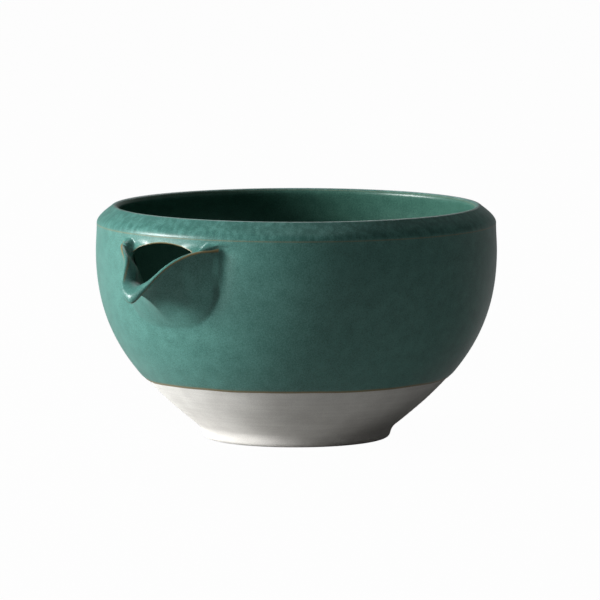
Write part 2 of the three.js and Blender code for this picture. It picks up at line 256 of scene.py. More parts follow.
# %% Which way the sheet faces
SHEET_TURN = 78          # degrees that it turns up between the tip and the sides
turning = lip_side / np.hypot(lip_share, TIP_SOFT) ** (2 - LIP_SWEEP)
forward = (lip_u - wing_u) * LIP_SWEEP * turning
inward = unit(np.column_stack([-forward, np.full(columns, wing_v), np.zeros(columns)]))
turned_up = np.radians(SHEET_TURN * smooth(lip_share, 0.1, 0.75))[:, None]
outward = -inward * np.cos(turned_up) + UP * np.sin(turned_up)
across = inward * np.sin(turned_up) + UP * np.cos(turned_up)
print(f"the sheet stands {math.degrees(turned_up.max()):.0f} degrees from level at the lips' ends")

# %% Section of the lip
# Each pair is a distance through the sheet from its outer face, and a distance out past the edge.
SIDE_SECTION = np.array([
    (0, -2.0), (0, -1.0), (0, -0.35), (0.06, -0.02), (0.24, 0.2), (0.55, 0.3), (0.9, 0.32),
    (1.2, 0.24), (1.45, 0.02), (1.62, -0.35), (1.78, -0.95), (1.98, -1.8), (2.25, -2.9)])
TIP_SECTION = np.array([
    (2.6, -3.9), (1.7, -2.6), (0.75, -1.2), (0.05, -0.4), (0.2, 0.05), (0.9, 0.3), (1.7, 0.38),
    (2.5, 0.3), (3.2, 0.0), (3.9, -0.6), (4.7, -1.6), (5.4, -2.9), (5.75, -4.4)])
CREST_AT = 6             # number of the pair on the crest of the edge
FLANK = 0.12             # share of the lip over which the roll is cut short past the hole's corner
LIP_ROWS = len(SIDE_SECTION) - 1
near_tip = bell(lip_share, 0, TIP_SOFT)
section = (TIP_SECTION[:, None] * near_tip[None, :, None]
           + SIDE_SECTION[:, None] * (1 - near_tip[None, :, None]))
# Over the hole the rows run through the whole section. Past its corner they end on the crest.
cut_short = np.where(in_hole, 0.0, smooth(share, CORNER, CORNER + FLANK))
station = np.arange(LIP_ROWS + 1)[:, None] * (1 + (CREST_AT / LIP_ROWS - 1) * cut_short)[None]
below = np.clip(station.astype(int), 0, LIP_ROWS - 1)
part = (station - below)[..., None]
column = np.arange(columns)[None]
section = section[below, column] * (1 - part) + section[below + 1, column] * part
roll = lip[None] + section[..., :1] * across[None] + section[..., 1:] * outward[None]
print(f"{LIP_ROWS + 1} rows round the lip")

# %% [markdown]
# ## The wall beside the spout
# Where a lip ends, the clay stands off the wall in a small step, and along the spout's right
# edge a finger has pressed the wall in a little. Both are small moves of a turned surface, so
# each is a distance that is added to the wall's radius, with soft steps in height and angle.

# %% The step and the pressed hollow
WING_STEP = 0.9          # how far the end of the right lip stands off the wall
LEFT_STEP = 0.4          # the left end's share of that
STEP_HEIGHTS = (50, 61, 63.2, 64.6)
STEP_ANGLES = (SLIT_ANGLE - 1.0, SLIT_ANGLE + 1.8)
HOLLOW = 0.55            # depth of the pressed hollow
HOLLOW_HEIGHTS = (41, 50, 62.0, 65.0)
HOLLOW_ASIDE = 0.6       # its middle lies this many degrees outside the seam
HOLLOW_IN_W, HOLLOW_OUT_W = 1.5, 3.0  # its width in degrees, towards the spout and away from it
SEAM_ANGLE = 18.9        # degrees from the middle to the side of the U where the spout leaves the wall
SEAM_DEPTH = 24.5        # from the lips' ends down to the bottom of the U
SEAM_SQUARE = 2.8        # 2 would make the U half an ellipse
LOWEST = 0.97            # share of the U's depth that the hollow follows
beyond = (1 - smooth(np.abs(theta), *STEP_ANGLES)) * np.where(theta > 0, 1, LEFT_STEP)


def round_u(along):
    """The U's depth at a share of its half width, or its half width at a share of its depth."""
    return (1 - along ** SEAM_SQUARE) ** (1 / SEAM_SQUARE)


def pressed_in(z):
    """How far the wall is pressed in at a height, along the spout's right edge."""
    down = np.clip((WING_Z - z) / SEAM_DEPTH, 0, LOWEST)
    middle = HOLLOW_ASIDE + SEAM_ANGLE * round_u(down)
    width = np.where(theta < middle, HOLLOW_IN_W, HOLLOW_OUT_W)
    return HOLLOW * band(z, *HOLLOW_HEIGHTS) * bell(theta, middle, width)


def wing_stand(z):
    """How far the wall beside the spout stands off its turned form at a height."""
    return WING_STEP * band(z, *STEP_HEIGHTS) * beyond - pressed_in(z)


print(f"the hollow is {pressed_in(WING_Z - 5).max():.2f} deep a little under the lips' ends")

# %% The lips' blunt ends
BLUNT_FROM = 0.93        # share of a lip past which it runs out into the wall
SLIT_LOW_Z = 62.0        # the slit's lower edge before it was pulled open
SLIT_HIGH_Z = 64.4       # and its upper edge
blunt = smooth(share, BLUNT_FROM, 1.0)[:, None]
row_z = SLIT_LOW_Z + (SLIT_HIGH_Z - SLIT_LOW_Z) * np.arange(LIP_ROWS + 1) / (LIP_ROWS + 1)
wing_rows = np.stack([on_wall(theta, z, wing_stand(z)) for z in row_z])
roll = np.where(in_slit[None, :, None], roll * (1 - blunt) + wing_rows * blunt, wing_rows)
print(f"{(in_slit & (blunt[:, 0] > 0)).sum()} columns run out into the wall")

# %% The arch over the hole
ARCH_ANGLE = 10.2        # degrees from the middle to the arch's ends
ARCH_SPRING = 62.45      # height of its ends
ARCH_RISE = 2.4
ARCH_ROUND = 0.8         # 1 would make the arch a cosine
LOBE = 0.8               # how far its ends are drawn out with the lips
LOBE_FROM = 0.55         # share of the arch past which they are
END_RISE = 0.35          # from the end of a lip up to the wall over it
CORNER_RISE = 0.2        # and at the hole's corner
arch_share = np.clip(share / CORNER, 0, 1)
arch_turn = arch_share * math.pi / 2
arch_z = ARCH_SPRING + ARCH_RISE * np.cos(arch_turn) ** ARCH_ROUND
arch_proud = LOBE * smooth(arch_share, LOBE_FROM, 1.0)
arch = on_wall(np.sign(theta) * ARCH_ANGLE * arch_share, arch_z, arch_proud)
slit_top = on_wall(theta, SLIT_HIGH_Z, wing_stand(SLIT_HIGH_Z))
over_edge = np.where(in_hole[:, None], arch,
                     np.where(in_slit[:, None], roll[-1] + END_RISE * UP, slit_top))
corner_columns = np.where(np.abs(share - CORNER) < NEAR)[0]
for j in corner_columns:
    roll[-1, j] = 0.5 * (roll[-1, j] + over_edge[j])
    over_edge[j] = roll[-1, j] + CORNER_RISE * UP
print("hole's corners", np.round(roll[-1][corner_columns], 1).tolist())

# %% [markdown]
# ## The glazed skin
# The coat is one skin of glass that wraps the bowl, in over the rim and through the spout. Rows
# are added in the order of the profile: a hidden floor inside the clay, the glaze line, the
# outside wall, the roll of the lip, the wall over the slit, the shoulder, the rim and the
# inside down to the middle of the floor. Each row is a ring of points, and each point notes how
# thin the glaze runs there, because thin glaze breaks to brown.

# %% The glaze line
LINE_TILT = 0.3          # the line is higher by this much on one side of the bowl
LINE_HIGH_AT = math.radians(131)  # which is here
LINE_WAVES = ((0.12, 3, 1.0), (0.07, 8, 2.0), (0.04, 17, 0.0))  # height, waves round, phase
around_bowl = np.radians(theta)
line_z = GLAZE_LINE_Z + LINE_TILT * np.cos(around_bowl - LINE_HIGH_AT) + sum(
    high * np.sin(count * around_bowl + phase) for high, count, phase in LINE_WAVES)
print(f"the glaze line runs between {line_z.min():.2f} and {line_z.max():.2f}")

# %% Rings, from the hidden floor up to the coat's lower edge
HIDDEN_FLOOR = ((12.0, 6.4), (24.0, 7.0), (31.0, 9.0), (40.0, 15.5))  # radius and height
COAT_EDGE = ((-1.2, 0.4), (0.02, 0.1), (0.22, -0.02), (0.36, 0.12))  # off the clay, over the line
rings = []
thin = []


def ring(points, thinness):
    rings.append(points)
    thin.append(np.broadcast_to(np.asarray(thinness, float), (columns,)).copy())


for r, z in HIDDEN_FLOOR:
    ring(polar(theta, r, z), 0)
clay_r = np.interp(line_z, bare_wall[:, 1], bare_wall[:, 0])
for off_clay, over_line in COAT_EDGE:
    ring(polar(theta, clay_r + off_clay, line_z + over_line), 1)
print(f"{len(rings)} rings up to the glaze line")

# %% [markdown]
# ## The wall under the lip
# Outside the U of the seam the wall is plain. Inside it each column leaves the wall upwards and
# bends out to the lip, as the wet sheet did when it was drawn. One Bezier curve for each column
# does that with two handles: one along the wall, and one that comes into the lip from behind.

# %% Rows under the lip
LOW_ROWS = 66
COAT_LIFT = 0.35         # the first row lies this far over the glaze line
ROW_CROWD = 1.25         # above 1, rows crowd together towards the lip
LINE_BROWN = 0.5         # height over which the brown above the glaze line fades
ROOT_UP, ROOT_OUT = 0.24, 0.17  # handle at the seam, in shares of the way to the lip
LIP_IN, LIP_DOWN = 0.28, 0.08  # handle at the lip
seam_share = np.clip(np.abs(theta) / SEAM_ANGLE, 0, 1)
seam_z = WING_Z - SEAM_DEPTH * round_u(seam_share)
root = on_wall(theta, seam_z, -pressed_in(seam_z))
length = np.linalg.norm(roll[0] - root, axis=1)[:, None]
root_handle = root + length * (ROOT_UP * UP + ROOT_OUT * unit(root * (1, 1, 0)))
lip_handle = roll[0] - length * (LIP_IN * outward + LIP_DOWN * UP)
first_z = line_z + COAT_LIFT
for row in range(LOW_ROWS):
    t = (row + 1) / (LOW_ROWS + 1)
    z = first_z + (SLIT_LOW_Z - first_z) * (1 - (1 - t) ** ROW_CROWD)
    s = np.clip((z - seam_z) / np.maximum(SLIT_LOW_Z - seam_z, 1e-3), 0, 1)[:, None]
    sheet = cubic(root, root_handle, lip_handle, roll[0], s)
    beside = on_wall(theta, z, wing_stand(z))
    drawn = sheet * (1 - blunt) + beside * blunt
    plain = on_wall(theta, z, -pressed_in(z))
    ring(np.where(in_slit[:, None], np.where(s > 0, drawn, plain), beside),
         np.exp(-(z - line_z) / LINE_BROWN))
print(f"{len(rings)} rings up to the lip")

# %% Rows round the lip, brown on its arrises
OUTER_ARRIS = 3.0        # station of the section where the outer arris lies
OUTER_ARRIS_W = 1.2      # stations over which its brown fades
TIP_SHIFT, TIP_WIDER = 0.5, 0.7  # near the tip it lies lower by this and is wider by this
END_SHIFT, END_WIDER = 1.0, 0.7  # and towards the lip's end it lies higher
INNER_ARRIS, INNER_ARRIS_W, INNER_BROWN = 8.6, 0.9, 0.8
toward_end = smooth(share, 0.6, 0.8)
arris_at = OUTER_ARRIS + END_SHIFT * toward_end - TIP_SHIFT * near_tip
arris_width = OUTER_ARRIS_W + END_WIDER * toward_end + TIP_WIDER * near_tip
on_left_lip = (side < 0) * smooth(share, 0.1, 0.3)
for row in range(LIP_ROWS + 1):
    inner_arris = INNER_BROWN * bell(station[row], INNER_ARRIS, INNER_ARRIS_W) * on_left_lip
    ring(roll[row], np.where(in_slit, bell(station[row], arris_at, arris_width) + inner_arris, 0))
LIP_RING = len(rings) - 1
print(f"{len(rings)} rings up to the lip's inner side")

# %% [markdown]
# ## Over the spout, the shoulder and the rim
# Over the hole the wall's cut edge is an arch, and over the right lip's end the clay was pushed
# up into a small fold. The rows here start on that edge and are back on the turned wall by the
# ridge. Then the turned shoulder and the rim follow, brown on the ridge and inside the rim.

# %% Rows over the slit
OVER_ROWS = 18
ROW_SPREAD = 1.3         # above 1, rows crowd together towards the slit
STAND_TO = 0.5           # share of the way up over which the edge's stand-off fades
STAND_FADE = 1.5
FOLD = 0.55              # height of the fold over the end of the right lip
FOLD_W = 0.2             # its half width, as a share of the way up
FOLD_LOW, FOLD_UP = 0.05, 0.22  # where it starts on the way up, and how much higher it ends
FOLD_BEND = (0.71, 0.82)  # shares of the lip between which it climbs
FOLD_SIDES = (0.66, 0.83, 0.98, 1.22)  # shares of the lip where it comes and goes
ARCH_BROWN, ARCH_FADE = 0.8, 8
RIDGE_BROWN = 0.6
RIDGE_LINE_LOW, RIDGE_LINE_W = 0.35, 0.35  # the brown line lies this far under the ridge


def ridge_line(z):
    """How thin the glaze runs at a height near the ridge."""
    return RIDGE_BROWN * bell(z, RIDGE_Z - RIDGE_LINE_LOW, RIDGE_LINE_W)


edge_angle = np.degrees(np.arctan2(over_edge[:, 0], -over_edge[:, 1]))
edge_z = over_edge[:, 2]
edge_stand = np.hypot(over_edge[:, 0], over_edge[:, 1]) - wall_radius(edge_z)
fold_at = FOLD_LOW + FOLD_UP * smooth(share, *FOLD_BEND)
for row in range(OVER_ROWS):
    t = (row / OVER_ROWS) ** ROW_SPREAD
    angle = theta + (edge_angle - theta) * (1 - t) ** ROW_SPREAD
    z = edge_z + (RIDGE_Z - edge_z) * t
    stand = edge_stand * max(0, 1 - t / STAND_TO) ** STAND_FADE
    fold = FOLD * bell(t, fold_at, FOLD_W) * band(side, *FOLD_SIDES)
    ring(on_wall(angle, z, stand + fold),
         np.where(in_hole, ARCH_BROWN * (1 - t) ** ARCH_FADE, 0) + ridge_line(z))
print(f"{len(rings)} rings up to the ridge")

# %% Shoulder, rim and undercut
RIM_BROWN, RIM_BROWN_AT, RIM_BROWN_W = 0.5, 9, 2.0  # in steps along the rim's round
RIM_INSIDE_AT = 10       # the step from which the coat is the inside one
UNDERCUT_ROWS = 12       # steps down the undercut to the upper edge of the hole
for r, z in shoulder[:-1]:
    ring(polar(theta, r, z), ridge_line(z))
INSIDE_RING = len(rings) + RIM_INSIDE_AT
for step, (r, z) in enumerate(rim):
    ring(polar(theta, r, z), RIM_BROWN * bell(step, RIM_BROWN_AT, RIM_BROWN_W))
for r, z in undercut[1:UNDERCUT_ROWS]:
    ring(polar(theta, r, z), 0)
print(f"{len(rings)} rings up to the hole's upper edge inside")

# %% [markdown]
# ## The inside
# Inside, the hole is wider and lower than outside, so that tea runs down into the spout from all
# sides. The same columns go round it: those over the hole spread to its outline, and their
# neighbours step aside for them and come back farther round. Below it the rows sweep in to a
# soft well, which is one more Bezier curve.

# %% The hole's outline inside, and the wall down to the floor
IN_SLIT_Z = 62.0         # height at which the rows part round the hole
HOLE_HALF = 20.5         # degrees from the middle to its sides
HOLE_BOTTOM = 39.5
HOLE_ROUND = 0.87        # 1 would make its lower edge half an ellipse
LINTEL_Z = 62.9          # its upper edge at the sides
LINTEL_RISE = 2.6
BACK_AT = 45             # degrees round, where the neighbours are back in their places
WELL_HANDLE = 0.35       # share of the inside's depth at which its wall starts to turn in
WELL_FLAT = 0.63         # share of its radius that the handle on the floor takes
room = (HOLE_HALF - corner_angle) * (1 - smooth(np.abs(theta), corner_angle, BACK_AT))
aside = theta + np.sign(theta) * room
hole_angle = np.where(in_hole, np.sign(theta) * HOLE_HALF * np.sin(arch_turn) ** HOLE_ROUND, aside)
hole_deep = np.where(in_hole, (IN_SLIT_Z - HOLE_BOTTOM) * np.cos(arch_turn) ** HOLE_ROUND, 0)
lintel_angle = np.where(in_hole, np.sign(theta) * HOLE_HALF * arch_share, aside)
lintel_z = LINTEL_Z + np.where(in_hole, LINTEL_RISE * np.cos(arch_turn) ** ARCH_ROUND, 0)
inner = bezier((inner_r, BELLY_Z), (inner_r, FLOOR_Z + WELL_HANDLE * (BELLY_Z - FLOOR_Z)),
               (WELL_FLAT * inner_r, FLOOR_Z), (0, FLOOR_Z), 200)
inside_line = np.concatenate([undercut[:-1], inner])


def on_inside(degrees, z):
    return polar(degrees, np.interp(z, inside_line[::-1, 1], inside_line[::-1, 0]), z)


print(f"the hole is {2 * HOLE_HALF:.0f} degrees wide inside")

# %% Rows round the hole inside, and the floor
LINTEL_ROWS = 3
IN_ROWS = 26
IN_ROWS_Z = 30.0         # height at which the rows are level again
FLOOR_SKIP, FLOOR_STEP = 5, 6  # points of the curve between the rows of the floor
undercut_z = undercut[UNDERCUT_ROWS - 1, 1]
for row in range(LINTEL_ROWS):
    t = (row + 1) / LINTEL_ROWS
    ring(on_inside(theta + (lintel_angle - theta) * t, undercut_z + (lintel_z - undercut_z) * t), 0)
LINTEL_RING = len(rings) - 1
for row in range(IN_ROWS):
    t = row / (IN_ROWS - 1)
    fade = (1 - t) ** 2
    z = IN_SLIT_Z + (IN_ROWS_Z - IN_SLIT_Z) * t
    ring(on_inside(theta + (hole_angle - theta) * fade, z - hole_deep * fade), 0)
floor_from = np.searchsorted(-inner[:, 1], -IN_ROWS_Z) + FLOOR_SKIP
for r, z in inner[floor_from:-4:FLOOR_STEP]:
    ring(polar(theta, r, z), 0)
print(f"{len(rings)} rings in all")

# %% [markdown]
# ## The passage
# The hole's two edges, outside and inside, are joined by a tunnel. Its lower half is the trough
# that the tea runs along, and its upper half is the cut edge of the wall, rounded by the glaze.
# A straight tunnel would meet the lip at a crease, so its strands are Bezier curves that leave
# the lip the way its section points.

# %% Strands of the passage
TUNNEL_ROWS = 14
LIP_LEAVE, IN_RISE = 0.25, 0.15  # the trough's handles, in shares of the way through
TURN_IN = 1.2            # how much a strand is turned towards the inside as it leaves the lip
EDGE_ROUND = 1.0         # how far the cut edge of the wall sags between its two faces
hole_columns = np.where(in_hole)[0]
outer_low, outer_top = rings[LIP_RING][hole_columns], rings[LIP_RING + 1][hole_columns]
inner_low, inner_top = rings[LINTEL_RING + 1][hole_columns], rings[LINTEL_RING][hole_columns]
through = np.linspace(0, 1, TUNNEL_ROWS + 1)[1:-1][:, None, None]
reach = np.linalg.norm(outer_low - inner_low, axis=1)[:, None]
leave = unit(outer_low - rings[LIP_RING - 1][hole_columns])
leave = unit(leave + TURN_IN * unit(inner_low - outer_low))
trough = cubic(outer_low, outer_low + LIP_LEAVE * reach * leave,
               inner_low + IN_RISE * reach * UP, inner_low, through)
lintel = cubic(outer_top, outer_top - EDGE_ROUND * UP, inner_top - EDGE_ROUND * UP, inner_top, through)
print(f"passage of {2 * len(hole_columns)} strands")

# %% [markdown]
# ## Joining the rings
# Quads between one ring and the next make the skin. The columns over the hole are left open in
# two places, at the lip and inside, and the tunnel's loops of points are joined to their edges.

# %% Faces of the skin
FLOOR_CENTRE = (0, 0, 6.2)


def ring_faces(low, high, skip=()):
    """Quads between two rings of point numbers; columns in skip are left open."""
    return [(low[j], low[(j + 1) % columns], high[(j + 1) % columns], high[j])
            for j in range(columns) if j not in skip]


blocks = [np.array([FLOOR_CENTRE])] + rings + [np.array([[0, 0, FLOOR_Z]])]
numbers, total = [], 0
for block in blocks:
    numbers.append(np.arange(total, total + len(block)))
    total += len(block)
top_ring = numbers[len(rings)]
open_columns = set(hole_columns[:-1].tolist())
faces = [(numbers[0][0], numbers[1][(j + 1) % columns], numbers[1][j]) for j in range(columns)]
for k in range(1, len(rings)):
    opened = k - 1 in (LIP_RING, LINTEL_RING)
    faces += ring_faces(numbers[k], numbers[k + 1], open_columns if opened else ())
faces += [(top_ring[j], top_ring[(j + 1) % columns], numbers[-1][0]) for j in range(columns)]
print(f"{len(faces)} faces without the passage")

# %% Faces of the passage
tube = np.concatenate([trough, lintel[:, ::-1]], axis=1)
strands = tube.shape[1]


def hole_edge(lower, upper):
    """Point numbers once round the hole, along one ring and back along the other."""
    return np.concatenate([numbers[lower + 1][hole_columns], numbers[upper + 1][hole_columns][::-1]])


loops = [hole_edge(LIP_RING, LIP_RING + 1)]
loops += [np.arange(total + k * strands, total + (k + 1) * strands) for k in range(len(tube))]
loops += [hole_edge(LINTEL_RING + 1, LINTEL_RING)]
for near, far in zip(loops, loops[1:]):
    faces += [(near[j], near[(j + 1) % strands], far[(j + 1) % strands], far[j]) for j in range(strands)]
points = np.concatenate(blocks + [tube.reshape(-1, 3)])
print(f"{len(points)} points, {len(faces)} faces")

# %% Where the glaze runs thin, and where it is the inside coat
LINTEL_BROWN_AT, LINTEL_BROWN_W = 2, 2.0  # in rows of the passage
lintel_row = bell(np.arange(1, TUNNEL_ROWS), LINTEL_BROWN_AT, LINTEL_BROWN_W)
off_corner = np.cos(arch_turn[hole_columns]) ** 0.4
tube_thin = np.concatenate([np.zeros((len(tube), len(hole_columns))),
                            lintel_row[:, None] * off_corner[::-1]], axis=1)
thinness = np.concatenate([[0.0]] + thin + [[0.0]] + [tube_thin.reshape(-1)])
inside_rings = np.arange(len(rings)) >= INSIDE_RING
inside = np.concatenate([[0.0], np.repeat(inside_rings, columns), [1.0], np.ones(len(tube) * strands)])
print(f"{inside.mean():.0%} of the points are inside")

# %% [markdown]
# ## Meshes
# Both pieces are made in the same way: points and faces become a mesh in metres at the bowl's
# place, and its normals are turned outwards. The join round the spout is then evened out a
# little, as a damp sponge does it on wet clay.

# %% Making a piece


def make_piece(name, vertices, polygons, **attributes):
    """A closed, smooth-shaded mesh in metres, moved from the bowl's axis to its place."""
    moved = (np.asarray(vertices) + np.array([0, AXIS_Y, 0])) * MM
    mesh = bpy.data.meshes.new(name)
    mesh.from_pydata(moved.tolist(), [], [tuple(int(i) for i in f) for f in polygons])
    for key, values in attributes.items():
        attribute = mesh.attributes.new(key, "FLOAT", "POINT")
        attribute.data.foreach_set("value", np.asarray(values, np.float32))
    bm = bmesh.new()
    bm.from_mesh(mesh)
    bmesh.ops.recalc_face_normals(bm, faces=bm.faces)
    bm.to_mesh(mesh)
    bm.free()
    mesh.shade_smooth()
    piece = bpy.data.objects.new(name, mesh)
    bpy.context.scene.collection.objects.link(piece)
    return piece


def soften(piece, chosen, passes, strength):
    """Evens out the chosen points, as a sponge does on wet clay."""
    bm = bmesh.new()
    bm.from_mesh(piece.data)
    bm.verts.ensure_lookup_table()
    verts = [bm.verts[i] for i in chosen]
    for _ in range(passes):
        bmesh.ops.smooth_vert(bm, verts=verts, factor=strength, use_axis_x=True,
                              use_axis_y=True, use_axis_z=True)
    bm.to_mesh(piece.data)
    bm.free()


def report(piece):
    """Prints a piece's volume in cubic millimetres, and its open edges, which should be none."""
    bm = bmesh.new()
    bm.from_mesh(piece.data)
    volume = bm.calc_volume(signed=True) / MM ** 3
    open_edges = sum(not e.is_manifold for e in bm.edges)
    bm.free()
    print(f"{piece.name}: {volume:.0f} mm3, {open_edges} open edges")


# %% The glazed skin as a mesh
SPONGE_ANGLE = 23        # degrees from the spout's middle
SPONGE_LOW_Z, SPONGE_HIGH_Z = 36, RIDGE_Z - 0.3
SPONGE_R = 50            # only the outside, past this radius
glazed = make_piece("glazed_skin", points, faces, thin=thinness, inside=inside)
angle_of = np.degrees(np.arctan2(points[:, 0], -points[:, 1]))
radius_of = np.hypot(points[:, 0], points[:, 1])
near_spout = (np.abs(angle_of) < SPONGE_ANGLE) & (radius_of > SPONGE_R) & (
    points[:, 2] > SPONGE_LOW_Z) & (points[:, 2] < SPONGE_HIGH_Z)
soften(glazed, np.where(near_spout)[0], passes=2, strength=0.4)
report(glazed)

# %% [markdown]
# ## The bare clay
# Under the glaze line the stoneware is left bare. It is a plain turned form, so a profile is
# turned into a grid of rings, with faint rings left by the turning tool put into the shape and
# the slight unevenness of a foot that was trimmed by hand. Its top is closed inside the skin.

# %% Profile of the foot
FOOT_IN_R = FOOT_R - FOOT_RING_W
ON_AXIS = 0.001          # a radius too small to see
foot_profile = np.concatenate([
    [[ON_AXIS, FOOT_RECESS + 0.5]],
    bezier((8, FOOT_RECESS + 0.45), (16, FOOT_RECESS + 0.3), (20, FOOT_RECESS + 0.1),
           (FOOT_IN_R - 2.0, FOOT_RECESS), 8),
    bezier((FOOT_IN_R - 1.8, FOOT_RECESS), (FOOT_IN_R - 0.2, FOOT_RECESS),
           (FOOT_IN_R - 0.1, FOOT_RECESS - 0.6), (FOOT_IN_R + 0.1, 1.2), 6),
    bezier((FOOT_IN_R + 0.2, 0.9), (FOOT_IN_R + 0.4, 0.1), (FOOT_IN_R + 0.8, 0),
           (FOOT_IN_R + 1.2, 0), 5),
    bezier((FOOT_R - 3.2, 0), (FOOT_R - 2.4, 0), (FOOT_R - 1.0, 0), (FOOT_R - 0.5, 1.0), 8),
    bezier((FOOT_R - 0.35, 1.5), (FOOT_R - 0.1, 2.4), (FOOT_R + 0.2, 3.4), wall_start, 8)[:-1],
])
HIDDEN_TOP = 4           # the clay runs on this far under the glaze
under_glaze = bare_wall[bare_wall[:, 1] < GLAZE_LINE_Z + HIDDEN_TOP]
closing = [[under_glaze[-1, 0] - 1.6, under_glaze[-1, 1]], [38, 15], [28, 8.2], [ON_AXIS, 7.4]]
clay_profile = np.concatenate([foot_profile, under_glaze[::2], closing])
print(f"{len(clay_profile)} points in the clay's profile")

# %% Bare clay
CLAY_COLUMNS = 256
TOOL_MARKS = ((0.035, 5.2), (0.02, 13.0))  # depth, and waves as the height grows
TOOL_FROM_Z = 5
UNEVEN = ((0.05, 2, 0.6), (0.03, 5, 2))  # how far out, waves round, phase
clay_theta = np.arange(CLAY_COLUMNS) * 360 / CLAY_COLUMNS
uneven = sum(out * np.sin(count * np.radians(clay_theta) + phase) for out, count, phase in UNEVEN)
clay_points = [[[0, 0, clay_profile[0, 1]]]]
for r, z in clay_profile[1:-1]:
    marks = sum(deep * math.sin(z * waves) for deep, waves in TOOL_MARKS) if z > TOOL_FROM_Z else 0
    clay_points.append(polar(clay_theta, r + marks + uneven * min(1, r / 30), z))
clay_points.append([[0, 0, clay_profile[-1, 1]]])
end = 1 + (len(clay_points) - 2) * CLAY_COLUMNS
last_low = end - CLAY_COLUMNS
pairs = [(j, (j + 1) % CLAY_COLUMNS) for j in range(CLAY_COLUMNS)]
clay_faces = [(low + j, low + k, low + CLAY_COLUMNS + k, low + CLAY_COLUMNS + j)
              for low in range(1, last_low, CLAY_COLUMNS) for j, k in pairs]
clay_faces += [(0, 1 + k, 1 + j) for j, k in pairs]
clay_faces += [(last_low + j, last_low + k, end) for j, k in pairs]
clay = make_piece("bare_clay", np.concatenate(clay_points), clay_faces)
report(clay)

# %% [markdown]
# ## Shader arithmetic
# Materials read best as formulas. Wire wraps one socket, so that `1 - mask * 0.5` adds the Math
# nodes by itself, and its `node` method makes any other node from its settings and inputs.

# %% A socket with arithmetic


class Wire:
    def __init__(self, tree, socket=None):
        self.tree, self.socket = tree, socket

    def node(self, kind, inputs, out=0, **settings):
        made = self.tree.nodes.new(kind)
        for name, value in settings.items():
            setattr(made, name, value)
        for key, value in inputs.items():
            if isinstance(value, Wire):
                self.tree.links.new(value.socket, made.inputs[key])
            else:
                made.inputs[key].default_value = value
        return Wire(self.tree, made.outputs[out])

    def _math(self, operation, a, b):
        return self.node("ShaderNodeMath", {0: a, 1: b}, operation=operation)

    def __add__(self, other):
        return self._math("ADD", self, other)

    def __sub__(self, other):
        return self._math("SUBTRACT", self, other)

    def __mul__(self, other):
        return self._math("MULTIPLY", self, other)

    def __rsub__(self, other):
        return self._math("SUBTRACT", other, self)

    __radd__ = __add__
    __rmul__ = __mul__

    def ramp(self, low, high, to_low=0.0, to_high=1.0):
        """A soft step from to_low to to_high, as this runs from low to high."""
        return self.node("ShaderNodeMapRange", {
            "Value": self, "From Min": low, "From Max": high, "To Min": to_low, "To Max": to_high},
            interpolation_type="SMOOTHSTEP")

    def mix(self, a, b):
        """Colour a where this is 0 and colour b where it is 1."""
        return self.node("ShaderNodeMix", {0: self, 6: a, 7: b}, out=2, data_type="RGBA")

    def times(self, x, y, z):
        """This place or colour with each of its three parts multiplied by a number."""
        return self.node("ShaderNodeVectorMath", {0: self, 1: (x, y, z)}, operation="MULTIPLY")

    def noise(self, scale, detail=2.0, roughness=0.5):
        """Noise at this place, with about scale spots to the metre."""
        return self.node("ShaderNodeTexNoise", {
            "Vector": self, "Scale": scale, "Detail": detail, "Roughness": roughness})

    def attribute(self, name):
        """A number that the mesh keeps for each point."""
        return self.node("ShaderNodeAttribute", {}, out=2, attribute_name=name)

    def bump(self, strength, height):
        return self.node("ShaderNodeBump", {
            "Strength": strength, "Distance": 0.1 * MM, "Height": height})


# %% Colours and materials


def linear(r, g, b):
    """A colour written as it looks on screen, 0 to 255, in the shader's linear values."""
    return tuple(((c / 255 + 0.055) / 1.055) ** 2.4 if c > 10 else c / 255 / 12.92
                 for c in (r, g, b)) + (1.0,)


def new_material(name):
    """A material, and a Wire with the place of a point on its object."""
    material = bpy.data.materials.new(name)
    material.use_nodes = True
    return material, Wire(material.node_tree).node("ShaderNodeTexCoord", {}, out=3)


def finish_material(material, piece, colour, roughness, normal, **constants):
    shader = material.node_tree.nodes["Principled BSDF"]
    for name, wire in (("Base Color", colour), ("Roughness", roughness), ("Normal", normal)):
        material.node_tree.links.new(wire.socket, shader.inputs[name])
    for name, value in constants.items():
        shader.inputs[name].default_value = value
    piece.data.materials.append(material)
    print(f"{material.name}: {len(material.node_tree.nodes)} nodes")


# %% [markdown]
# ## Glaze
# The glaze is a satin green that breaks to brown wherever it runs thin: over the ridge, the rim,
# the lips and its own lower edge. It could be one flat colour with a bump, but the real coat is
# full of tiny crystals, so its grain is two sizes of noise that drive colour, gloss and bump
# together. Faint streaks run down the shoulder. Inside the bowl the green is painted darker, as
# painted shade, and a little less blue.

# %% Glaze material
GREEN_DEEP, GREEN_PALE = linear(61, 110, 102), linear(93, 147, 138)
BROWN = linear(138, 122, 84)
INSIDE_PAINTED_SHADE = (0.64, 0.65, 0.58)  # painted shade: how much of the green's red, green and blue is left inside the bowl
STREAKS_FROM, STREAKS_FULL = 66.0 * MM, 67.5 * MM
glaze, place = new_material("satin_green_glaze")
grain = place.noise(2600, 2.5, 0.6)
cloud = place.noise(260, 3.0)
streak = place.times(1, 1, 0.12).noise(620)
height = place.node("ShaderNodeSeparateXYZ", {0: place}, out=2)
inside_coat = place.attribute("inside")
thin_coat = place.attribute("thin")
on_shoulder = height.ramp(STREAKS_FROM, STREAKS_FULL) * (1 - inside_coat)
tone = grain * 0.5 + cloud * 0.2 + 0.15 + (streak - 0.58) * on_shoulder * 0.45
green = tone.ramp(0.35, 0.65).mix(GREEN_DEEP, GREEN_PALE)
worn = (thin_coat * (grain * 0.9 + 0.55)).ramp(0.25, 0.95)
